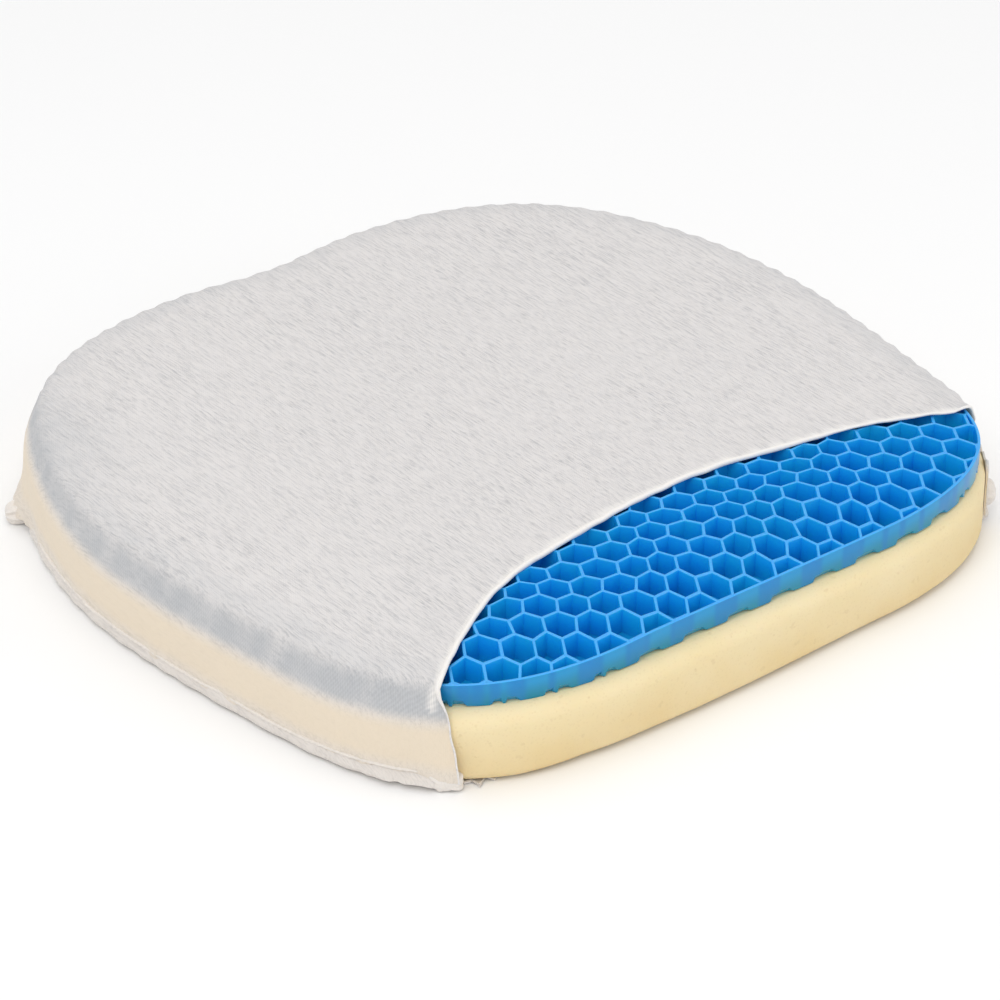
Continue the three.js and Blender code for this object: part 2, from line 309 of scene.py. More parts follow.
class Socket:
    """A shader value that can be used in sums."""

    def __init__(self, shader: "Shader", link: bpy.types.NodeSocket) -> None:
        """Keep the link and the shader that it belongs to."""
        self.shader = shader
        self.link = link

    def _sum(self, operation: str, first: "Value", second: "Value") -> "Socket":
        """Add one Math node."""
        return self.shader.node("ShaderNodeMath", {"operation": operation}, (first, second))

    def __add__(self, other: "Value") -> "Socket":
        """Self plus other."""
        return self._sum("ADD", self, other)

    def __radd__(self, other: "Value") -> "Socket":
        """Other plus self."""
        return self._sum("ADD", other, self)

    def __sub__(self, other: "Value") -> "Socket":
        """Self minus other."""
        return self._sum("SUBTRACT", self, other)

    def __rsub__(self, other: "Value") -> "Socket":
        """Other minus self."""
        return self._sum("SUBTRACT", other, self)

    def __mul__(self, other: "Value") -> "Socket":
        """Self times other."""
        return self._sum("MULTIPLY", self, other)

    def __rmul__(self, other: "Value") -> "Socket":
        """Other times self."""
        return self._sum("MULTIPLY", other, self)

    def __pow__(self, other: "Value") -> "Socket":
        """Self to a power."""
        return self._sum("POWER", self, other)

    def between(self, low: float, high: float) -> "Socket":
        """0 below low, 1 above high, and an even S between them."""
        settings = {"interpolation_type": "SMOOTHSTEP"}
        return self.shader.node("ShaderNodeMapRange", settings, (self, low, high, 0.0, 1.0))


Value = Union[Socket, float]


class Shader:
    """One node material, built from expressions."""

    def __init__(self, name: str) -> None:
        """Start an empty material with its output node."""
        self.material = bpy.data.materials.new(name)
        self.material.use_nodes = True
        self.tree = self.material.node_tree
        self.tree.nodes.clear()
        self.output = self.tree.nodes.new("ShaderNodeOutputMaterial")

    def node(
        self,
        kind: str,
        settings: Optional[dict] = None,
        inputs: Union[Sequence, dict, None] = None,
        output: Union[int, str] = 0,
    ) -> Socket:
        """Add a node.

        Args:
            kind: the node's type.
            settings: its properties, or a ramp's stops, which are set first.
            inputs: values or links for its sockets, in order or by name.
            output: which of its outputs is wanted.

        Returns:
            That output.
        """
        made = self.tree.nodes.new(kind)
        for key, value in (settings or {}).items():
            if key == "stops":
                self._stops(made.color_ramp, value)
            else:
                setattr(made, key, value)
        pairs = inputs.items() if isinstance(inputs, dict) else enumerate(inputs or ())
        for key, value in pairs:
            if isinstance(value, Socket):
                self.tree.links.new(value.link, made.inputs[key])
            elif value is not None:
                made.inputs[key].default_value = value
        return Socket(self, made.outputs[output])

    @staticmethod
    def _stops(ramp: bpy.types.ColorRamp, stops: Sequence[tuple[float, Colour]]) -> None:
        """Fill in a colour ramp."""
        while len(ramp.elements) < len(stops):
            ramp.elements.new(1.0)
        for element, (position, colour) in zip(ramp.elements, stops):
            element.position = position
            element.color = colour

    def place(self, scale: tuple[float, float, float] = (1, 1, 1), turn: float = 0.0) -> Socket:
        """Object coordinates, stretched and turned about Z."""
        here = self.node("ShaderNodeTexCoord", output="Object")
        return self.node("ShaderNodeMapping", inputs={0: here, 2: (0, 0, turn), 3: scale})

    def axis(self, vector: Socket, which: str) -> Socket:
        """One component of a vector."""
        return self.node("ShaderNodeSeparateXYZ", inputs=(vector,), output=which)

    def value(self, name: str) -> Socket:
        """A number kept on the mesh's vertices."""
        return self.node("ShaderNodeAttribute", {"attribute_name": name}, output="Fac")

    def facing_up(self) -> Socket:
        """How far the surface faces upwards."""
        return self.axis(self.node("ShaderNodeNewGeometry", output="Normal"), "Z")

    def noise(
        self, vector: Socket, scale: float, detail: float = 2.0, rough: float = 0.5
    ) -> Socket:
        """Noise of about 0 to 1 around 0.5."""
        inputs = {"Vector": vector, "Scale": scale, "Detail": detail, "Roughness": rough}
        return self.node("ShaderNodeTexNoise", inputs=inputs)

    def mix(
        self, share: Value, first: Union[Socket, Colour], second: Union[Socket, Colour]
    ) -> Socket:
        """A colour between two, by a share from 0 to 1."""
        return self.node(
            "ShaderNodeMix", {"data_type": "RGBA"}, {0: share, 6: first, 7: second}, output=2
        )

    def bump(self, height: Socket, strength: float, distance: float) -> Socket:
        """A normal from a height."""
        inputs = {"Strength": strength, "Distance": distance, "Height": height}
        return self.node("ShaderNodeBump", inputs=inputs)

    def surface(self, **inputs: object) -> bpy.types.Material:
        """Finish with a Principled surface.

        Args:
            inputs: socket names, with _ for a space, and their values or links.

        Returns:
            The finished material.
        """
        named_inputs = {key.replace("_", " "): value for key, value in inputs.items()}
        shade = self.node("ShaderNodeBsdfPrincipled", inputs=named_inputs)
        self.tree.links.new(shade.link, self.output.inputs["Surface"])
        return self.material


def dress(piece: bpy.types.Object, material: bpy.types.Material) -> None:
    """Give the whole piece one material."""
    piece.data.materials.clear()
    piece.data.materials.append(material)


# ------------------------------------------------------------------ finishes


@dataclass(frozen=True)
class FoamFinish:
    """Cream open-cell polyurethane with fine pores and a few larger ones."""

    light: Colour = tint(248, 236, 204)
    base: Colour = tint(241, 222, 176)
    shade: Colour = tint(233, 209, 158)
    pore: Colour = tint(214, 188, 140)

    def make(self) -> bpy.types.Material:
        """Build the material."""
        s = Shader("cushion_foam")
        here = s.place()
        height = s.axis(here, "Z")
        clouds = s.noise(here, 26.0, 3.0)
        body = s.mix(height.between(0.002, 0.036), self.shade, self.base)
        body = s.mix((clouds - 0.35) * 0.9, body, self.light)
        cells = s.node(
            "ShaderNodeTexVoronoi",
            {"feature": "F1"},
            {"Vector": here, "Scale": 620.0, "Randomness": 1.0},
        )
        rare = s.noise(here, 210.0, 2.0).between(0.66, 0.72)
        pores = (1 - cells.between(0.10, 0.40)) * 0.16 + rare * 0.22
        body = s.mix(pores, body, self.pore)
        grain = s.noise(here, 1500.0, 2.0, 0.6)
        relief = cells * 0.35 + grain * 0.35 - rare * 0.6
        return s.surface(
            Base_Color=body,
            Roughness=0.9,
            Normal=s.bump(relief, 0.35, 0.0004),
            Subsurface_Weight=0.12,
            Subsurface_Radius=(0.004, 0.0025, 0.001),
            Subsurface_Scale=1.0,
        )


@dataclass(frozen=True)
class GelFinish:
    """Blue elastomer that lets light through where it is thin; its colour also holds a painted
    highlight on the wall tops, painted shade low in the cells and on the rim, and painted light low
    in the cells near the rim.
    """

    # painted highlight: the light colour given to the wall tops that face up
    edge: Colour = tint(62, 168, 246)
    wall: Colour = tint(14, 164, 241)
    # teal: random tone over the pad, and painted light low in the cells near the rim
    teal: Colour = tint(14, 176, 216)
    # painted shade: the colour low in the cells
    deep_shade: Colour = tint(4, 138, 208)
    # painted shade: the rim's face where a cell wall stands behind it
    crease: Colour = tint(0, 124, 196)
    rim: Colour = tint(24, 152, 206)
    # painted shade: the rim's outer face towards its lower edge
    rim_low: Colour = tint(10, 138, 168)

    def make(self) -> bpy.types.Material:
        """Build the material."""
        s = Shader("cushion_gel")
        here = s.place()
        depth = s.value("depth")
        rim_face = s.value("rim_face")
        wall_near = s.value("wall_near")
        clouds = s.noise(here, 38.0, 2.0)
        # painted shade: the walls darken towards the floor of each cell
        body = s.mix(depth.between(0.05, 0.95), self.wall, self.deep_shade)
        body = s.mix((clouds - 0.42).between(0.0, 0.25) * 0.35, body, self.teal)
        # painted light: low in the cells next to the rim the colour turns teal, as if lit through
        # the thin rim
        body = s.mix(s.value("rim_near") * depth.between(0.1, 0.7) * 0.7, body, self.teal)
        # painted shade: the rim's outer face darker and more teal towards its lower edge by the
        # foam
        outside = s.mix(depth.between(0.15, 0.9), self.rim, self.rim_low)
        # painted shade: the rim's face darker where a cell wall stands behind it, as less light
        # comes through
        outside = s.mix(wall_near * 0.6, outside, self.crease)
        body = s.mix(rim_face, body, outside)
        # painted highlight: surfaces that face up, the wall tops, get the light edge colour
        top = s.facing_up().between(0.35, 0.85) * (1 - depth.between(0.03, 0.12))
        body = s.mix(top, body, self.edge)
        grain = s.noise(here, 900.0, 2.0)
        return s.surface(
            Base_Color=body,
            Roughness=0.34,
            Normal=s.bump(grain, 0.08, 0.0003),
            Subsurface_Weight=0.35,
            Subsurface_Radius=(0.0008, 0.003, 0.006),
            Subsurface_Scale=1.0,
            Coat_Weight=0.15,
            Coat_Roughness=0.25,
            IOR=1.45,
        )


@dataclass(frozen=True)
class JerseyFinish:
    """Thin heathered jersey, tinted by whatever lies close behind it."""

    name: str = "cushion_jersey"
    light: Colour = tint(226, 222, 220)
    fleck: Colour = tint(163, 163, 166)
    over_gel: Colour = tint(184, 188, 192)
    over_foam: Colour = tint(236, 220, 196)
    edge: Colour = tint(246, 242, 237)
    heather: float = 1.0

    def make(self) -> bpy.types.Material:
        """Build the material."""
        s = Shader(self.name)
        here = s.place()
        streaks = s.noise(s.place((1500.0, 95.0, 500.0)), 1.0, 3.0, 0.6)
        fine = s.noise(s.place((2900.0, 260.0, 1100.0)), 1.0, 2.0, 0.5)
        patches = s.noise(here, 30.0, 2.0)
        flecks = (streaks * 0.6 + fine * 0.4).between(0.42, 0.70)
        body = s.mix(flecks * (0.35 + patches * 0.6) * self.heather, self.light, self.fleck)
        body = s.mix(s.value("over_gel") * 0.75, body, self.over_gel)
        body = s.mix(s.value("over_foam") * 0.9, body, self.over_foam)
        body = s.mix(s.value("cut") * 0.9, body, self.edge)
        turned = s.place((1, 1, 0.6), 0.6)
        inputs = {"Vector": turned, "Scale": 330.0, "Distortion": 2.2, "Detail": 2.0}
        thread, cross = (
            s.node(
                "ShaderNodeTexWave",
                {"wave_type": "BANDS", "bands_direction": direction},
                inputs,
                output="Fac",
            )
            for direction in ("X", "Y")
        )
        knit = thread * 0.5 + cross * 0.5
        body = s.mix((1 - knit) * s.value("over_gel") * 0.42, body, self.fleck)
        relief = knit * 0.7 + streaks * 0.5
        return s.surface(
            Base_Color=body,
            Roughness=0.92,
            Normal=s.bump(relief, 0.25, 0.0003),
            Sheen_Weight=0.15,
            Sheen_Roughness=0.5,
            Subsurface_Weight=0.1,
            Subsurface_Radius=(0.002, 0.0018, 0.0015),
            Subsurface_Scale=1.0,
        )


@dataclass(frozen=True)
class FloorFinish:
    """Plain pale studio floor."""

    colour: Colour = tint(250, 250, 250)
    cloud: Colour = tint(244, 244, 244)

    def make(self) -> bpy.types.Material:
        """Build the material."""
        s = Shader("studio_floor")
        soft = s.noise(s.place(), 0.8, 1.0)
        return s.surface(Base_Color=s.mix(soft * 0.02, self.colour, self.cloud), Roughness=0.9)


# ------------------------------------------------------------------ outline and lattice


@dataclass(frozen=True)
class Outline:
    """The foam's plan outline: cubic curves on the right half, mirrored for the left."""

    half_width: float
    half_depth: float
    front_half_flat: float = 70 * MM
    front_corner_reach: float = 58 * MM
    side_start: tuple[float, float] = (14 * MM, 88 * MM)
    side_start_lean: tuple[float, float] = (12 * MM, 66 * MM)
    side_rise: tuple[float, float] = (5.5 * MM, 31 * MM)
    widest_y: float = 20 * MM
    side_fullness: tuple[float, float] = (40 * MM, 46 * MM)
    back_corner: tuple[float, float] = (50 * MM, 32 * MM)
    back_corner_lean: tuple[float, float] = (32 * MM, 28 * MM)
    back_corner_turn: tuple[float, float] = (26 * MM, 22.75 * MM)
    back_crest_x: float = 52 * MM
    back_crest_fullness: tuple[float, float] = (36 * MM, 20 * MM)
    back_dip: float = 4.5 * MM
    fine_steps: int = 240

    def _right_half(self) -> np.ndarray:
        """Dense points from the front middle round to the back middle."""
        w, d = self.half_width, self.half_depth
        side = (w - self.side_start[0], self.side_start[1] - d)
        corner = (w - self.back_corner[0], d - self.back_corner[1])
        flat, crest, dip = self.front_half_flat, self.back_crest_x, d - self.back_dip
        curves = [
            ((0, -d), (flat / 3, -d), (flat * 2 / 3, -d), (flat, -d)),
            (
                (flat, -d),
                (flat + self.front_corner_reach, -d),
                (side[0] - self.side_start_lean[0], side[1] - self.side_start_lean[1]),
                side,
            ),
            (
                side,
                (side[0] + self.side_rise[0], side[1] + self.side_rise[1]),
                (w, self.widest_y - self.side_fullness[0]),
                (w, self.widest_y),
            ),
            (
                (w, self.widest_y),
                (w, self.widest_y + self.side_fullness[1]),
                (corner[0] + self.back_corner_lean[0], corner[1] - self.back_corner_lean[1]),
                corner,
            ),
            (
                corner,
                (corner[0] - self.back_corner_turn[0], corner[1] + self.back_corner_turn[1]),
                (crest + self.back_crest_fullness[0], d),
                (crest, d),
            ),
            (
                (crest, d),
                (crest - self.back_crest_fullness[1], d),
                (self.back_crest_fullness[1], dip),
                (0, dip),
            ),
        ]
        t = np.linspace(0, 1, self.fine_steps, endpoint=False)[:, None]
        parts = []
        for curve in curves:
            a, b, c, e = (np.array(p, float) for p in curve)
            ends = (1 - t) ** 3 * a + t**3 * e
            parts.append(ends + 3 * (1 - t) ** 2 * t * b + 3 * (1 - t) * t**2 * c)
        return np.vstack([*parts, [[0, dip]]])

    def _table(self) -> tuple[np.ndarray, np.ndarray, np.ndarray]:
        """Length run, points and outward directions all round, closed at the front middle."""
        right = self._right_half()
        left = right[::-1][1:] * [-1, 1]
        loop = np.vstack([right, left])
        steps = np.hypot(*np.diff(loop, axis=0).T)
        run = np.concatenate([[0], np.cumsum(steps)])
        ahead = np.vstack([loop[1:], loop[1:2]]) - np.vstack([loop[-2:-1], loop[:-1]])
        ahead /= np.hypot(*ahead.T)[:, None]
        return run, loop, np.stack([ahead[:, 1], -ahead[:, 0]], axis=1)

    @property
    def length(self) -> float:
        """The whole way round."""
        return float(self._table()[0][-1])

    def at(self, share: np.ndarray) -> tuple[np.ndarray, np.ndarray]:
        """Points and outward directions.

        Args:
            share: 0 to 1 of the way round, anticlockwise from the front middle.

        Returns:
            The points and the outward directions there, one row each.
        """
        run, loop, out = self._table()
        where = np.mod(share, 1.0) * run[-1]
        point = np.stack([np.interp(where, run, loop[:, k]) for k in (0, 1)], axis=1)
        away = np.stack([np.interp(where, run, out[:, k]) for k in (0, 1)], axis=1)
        return point, away / np.hypot(*away.T)[:, None]

    def nearest(self, spots: np.ndarray, steps: int) -> tuple[np.ndarray, np.ndarray, np.ndarray]:
        """The nearest of some even steps round the outline.

        Args:
            spots: places, one row each.
            steps: how many steps go round.

        Returns:
            For each place: the step's number, the way out there, and how far inside it lies.
        """
        point, out = self.at(np.linspace(0, 1, steps + 1)[:-1])
        found = np.empty(len(spots), int)
        for start in range(0, len(spots), BLOCK):
            away = spots[start : start + BLOCK, None, :2] - point[None]
            found[start : start + BLOCK] = (away**2).sum(axis=2).argmin(axis=1)
        inside = -((spots[:, :2] - point[found]) * out[found]).sum(axis=1)
        return found, out[found], inside

    def share_where(self, axis: int, value: float) -> float:
        """Share of the way round, on the right half, where one coordinate passes a value."""
        shares = np.linspace(0, 0.5, 2001)
        point, _ = self.at(shares)
        return float(shares[int(np.argmax(point[:, axis] > value))])


@dataclass(frozen=True)
class Lattice:
    """The honeycomb's cells: flats apart, turn, and where its first cell lies."""

    pitch: float = 14.06 * MM
    turn: float = math.radians(-1.6)
    first: tuple[float, float] = (-124.1 * MM, -143.5 * MM)

    @property
    def axes(self) -> np.ndarray:
        """The two steps from a cell to its neighbours, one row each."""
        low, high = self.turn - math.pi / 6, self.turn + math.pi / 6
        return self.pitch * np.array(
            [[math.cos(low), math.sin(low)], [math.cos(high), math.sin(high)]]
        )

    def centres(self, reach: float) -> np.ndarray:
        """Centres of every cell within reach of the origin on either axis."""
        span = np.arange(-60, 61)
        steps = np.stack(np.meshgrid(span, span), axis=-1).reshape(-1, 2)
        spots = steps @ self.axes + np.array(self.first)
        return spots[(np.abs(spots) < reach).all(axis=1)]

    def drawn(self, spots: np.ndarray) -> np.ndarray:
        """Regular places as the soft sheet holds them, with the front cells drawn out.

        Args:
            spots: x and y of regular places, one row each.

        Returns:
            Their x and y in the pad.
        """
        along = np.clip(spots[:, 0] / 0.1, -1.6, 1.6)
        back = np.clip((spots[:, 1] + 0.14) / 0.1, -0.5, 0.3)
        terms = np.stack([np.ones_like(back), back, back**2, along, along * back, along**2], axis=1)
        shares = np.array(
            [[2.1, 2.3], [8.9, 4.7], [-37.1, -37.1], [0.1, 0.8], [2.8, -1.3], [-1.5, -2.1]]
        )
        return spots + terms @ shares * MM

    def regular(self, spots: np.ndarray) -> np.ndarray:
        """The regular places of places in the pad: drawn, the other way round."""
        found = spots.copy()
        for _ in range(6):
            found = spots - (self.drawn(found) - found)
        return found

    def to_wall(self, x: np.ndarray, y: np.ndarray) -> np.ndarray:
        """Distance from points to the middle of the nearest wall."""
        spots = self.regular(np.stack([x, y], axis=-1)) - np.array(self.first)
        share = spots @ np.linalg.inv(self.axes)
        base = np.floor(share)
        best = np.full(x.shape, np.inf)
        offset = np.zeros(x.shape + (2,))
        for du in (0, 1):
            for dv in (0, 1):
                away = spots - (base + [du, dv]) @ self.axes
                gap = np.hypot(away[..., 0], away[..., 1])
                nearer = gap < best
                best = np.where(nearer, gap, best)
                offset = np.where(nearer[..., None], away, offset)
        far = np.zeros(x.shape)
        for k in range(3):
            angle = self.turn + math.pi / 6 + k * math.pi / 3
            far = np.maximum(far, np.abs(offset @ [math.cos(angle), math.sin(angle)]))
        return self.pitch / 2 - far


RIM_STATIONS = np.array([-160, -110, -60, 0, 50, 110, 150, 190]) * MM  # x along the front rim


def crown_at(x: np.ndarray, y: np.ndarray, height: float = 0.9 * MM) -> np.ndarray:
    """How much the middle of the pad stands above its rim."""
    return height * (1 - smooth(np.hypot(x / 0.2, (y + 0.006) / 0.188), 0.25, 0.92))


def crept(spots: np.ndarray, share: np.ndarray) -> np.ndarray:
    """Move places at the front outwards, as the soft rim has crept on the foam.

    Args:
        spots: x and y of the places, one row each.
        share: how much each place takes part, 0 to 1.

    Returns:
        The moved x and y.
    """
    amounts = np.array([0.5, 0.2, 0.0, 1.2, 2.0, 2.8, 4.6, 4.6]) * MM
    creep = np.interp(spots[:, 0], RIM_STATIONS, amounts)
    away = spots - [0.0, 60 * MM]
    away /= np.hypot(*away.T)[:, None]
    front = 1 - smooth(spots[:, 1], -150 * MM, -100 * MM)
    return spots + away * (creep * share * front)[:, None]


@dataclass(frozen=True)
class Opening:
    """The cut across the front: one arc between two ends."""

    left: float = -155 * MM
    right: float = 161 * MM
    depth: float = 87 * MM
    radius: float = 310 * MM
    middle_x: float = 22 * MM

    def back_at(self, x: np.ndarray, half_depth: float) -> np.ndarray:
        """How far back the cut lies at x."""
        off = np.clip(x, self.left, self.right) - self.middle_x
        arc = self.depth - half_depth - self.radius + np.sqrt(self.radius**2 - off**2)
        pulled = 5.5 * np.exp(-(((x + 0.092) / 0.042) ** 2))
        pulled = pulled - 2 * np.exp(-(((x - 0.076) / 0.025) ** 2))
        return arc + (pulled + 1.2) * MM


# ------------------------------------------------------------------ studio


@dataclass
class Studio:
    """Camera, soft lights and a pale floor."""

    eye: tuple[float, float, float] = (-0.8648, -1.0743, 0.8525)
    tilt: float = math.radians(58.28)
    heading: float = math.radians(-38.92)
    lens: float = 126.0
    floor_size: float = 12.0
    world_strength: float = 0.62

    def camera(self) -> None:
        """Add the camera."""
        deselect()
        bpy.ops.object.camera_add(location=self.eye, rotation=(self.tilt, 0, self.heading))
        camera = bpy.context.object
        camera.name = "camera"
        camera.data.lens = self.lens
        camera.data.sensor_width = 36.0
        camera.data.clip_start = 0.05
        camera.data.clip_end = 60.0
        bpy.context.scene.camera = camera

    def floor(self) -> None:
        """Add the floor."""
        deselect()
        bpy.ops.mesh.primitive_plane_add(size=self.floor_size, location=(0, 0, -0.0002))
        floor = named("studio_floor")
        dress(floor, FloorFinish().make())

    def area_light(
        self, name: str, place: tuple[float, float, float], size: float, power: float
    ) -> None:
        """Add one square area light that looks at the cushion."""
        deselect()
        bpy.ops.object.light_add(type="AREA", location=place)
        lamp = bpy.context.object
        lamp.name = name
        lamp.data.size = size
        lamp.data.energy = power
        towards = Vector((0, 0, 0.02)) - Vector(place)
        lamp.rotation_euler = towards.to_track_quat("-Z", "Y").to_euler()

    def build(self) -> None:
        """Set up everything."""
        self.camera()
        self.floor()
        self.area_light("key_light", (-1.4, -0.9, 2.2), 1.6, 24.0)
        self.area_light("top_light", (0.3, 0.5, 2.6), 2.2, 15.0)
        self.area_light("fill_light", (1.6, -1.9, 1.1), 1.4, 8.0)
        world = bpy.data.worlds.new("studio_world")
        bpy.context.scene.world = world
        world.use_nodes = True
        background = world.node_tree.nodes["Background"]
        background.inputs[0].default_value = (1.0, 1.0, 1.0, 1.0)
        background.inputs[1].default_value = self.world_strength
        bpy.context.scene.view_settings.view_transform = "Standard"


# ------------------------------------------------------------------ foam


# how far the foam's lower edge draws in along the front, by x
TUCK_STATIONS = np.array([-130, -100, -70, -40, -10, 50, 100, 130, 150, 165]) * MM
TUCK_AMOUNTS = np.array([0.0, 2.7, 2.0, 0.4, 0.0, 0.8, 0.9, 0.0, 0.0, 1.0]) * MM


@dataclass
class FoamBase:
    """One moulded block with soft rounded edges."""

    outline: Outline
    bottom: float
    top: float
    top_round: float = 8 * MM
    bottom_round: float = 5 * MM
    around: int = 420

    def _profile(self) -> np.ndarray:
        """Rows of out and height, from the middle of the underside to the top's middle."""
        low, high = self.bottom_round, self.top_round
        points = [(-60 * MM, self.bottom), (-30 * MM, self.bottom), (-12 * MM, self.bottom)]
        for angle in np.radians(np.linspace(-90, 0, 7)):
            points.append((-low + low * math.cos(angle), self.bottom + low + low * math.sin(angle)))
        for z in np.linspace(self.bottom + low, self.top - high, 10)[1:-1]:
            points.append((0.0, float(z)))
        for angle in np.radians(np.linspace(0, 90, 11)):
            out, up = high * (math.cos(angle) - 1), high * (math.sin(angle) - 1)
            points.append((out, self.top + up))
        for out in (-11, -16, -24, -36, -60):
            points.append((out * MM, self.top))
        return np.array(points)

    def build(self) -> bpy.types.Object:
        """Model the block and give it its finish."""
        profile = self._profile()
        rings = len(profile) - 1

        def place(u: np.ndarray, v: np.ndarray) -> np.ndarray:
            """Where each grid share lies."""
            point, out = self.outline.at(u)
            row = np.rint(v * rings).astype(int)
            away, z = profile[row, 0], profile[row, 1]
            side = smooth(z, self.bottom, self.bottom + 3 * MM)
            side *= 1 - smooth(z, self.top - 2 * MM, self.top)
            swell = 0.35 * MM * waves(point[:, 0] + z, point[:, 1] + z, 60 * MM, 11) * side
            tucked = np.interp(point[:, 0], TUCK_STATIONS, TUCK_AMOUNTS)
            tucked *= (point[:, 1] < -60 * MM) * (1 - smooth(z, 1 * MM, 22 * MM))
            spot = point + out * (away + swell - tucked)[:, None]
            uneven = 0.2 * MM * waves(spot[:, 0], spot[:, 1], 90 * MM, 5) * (z > 20 * MM)
            return np.column_stack([spot, z + uneven])

        piece = wrapped("foam_block", self.around, rings, place)
        fill_border(piece)
        smooth_shading(piece)
        dress(piece, FoamFinish().make())
        stand_for(piece, "foam_base")
        return piece


# ------------------------------------------------------------------ gel


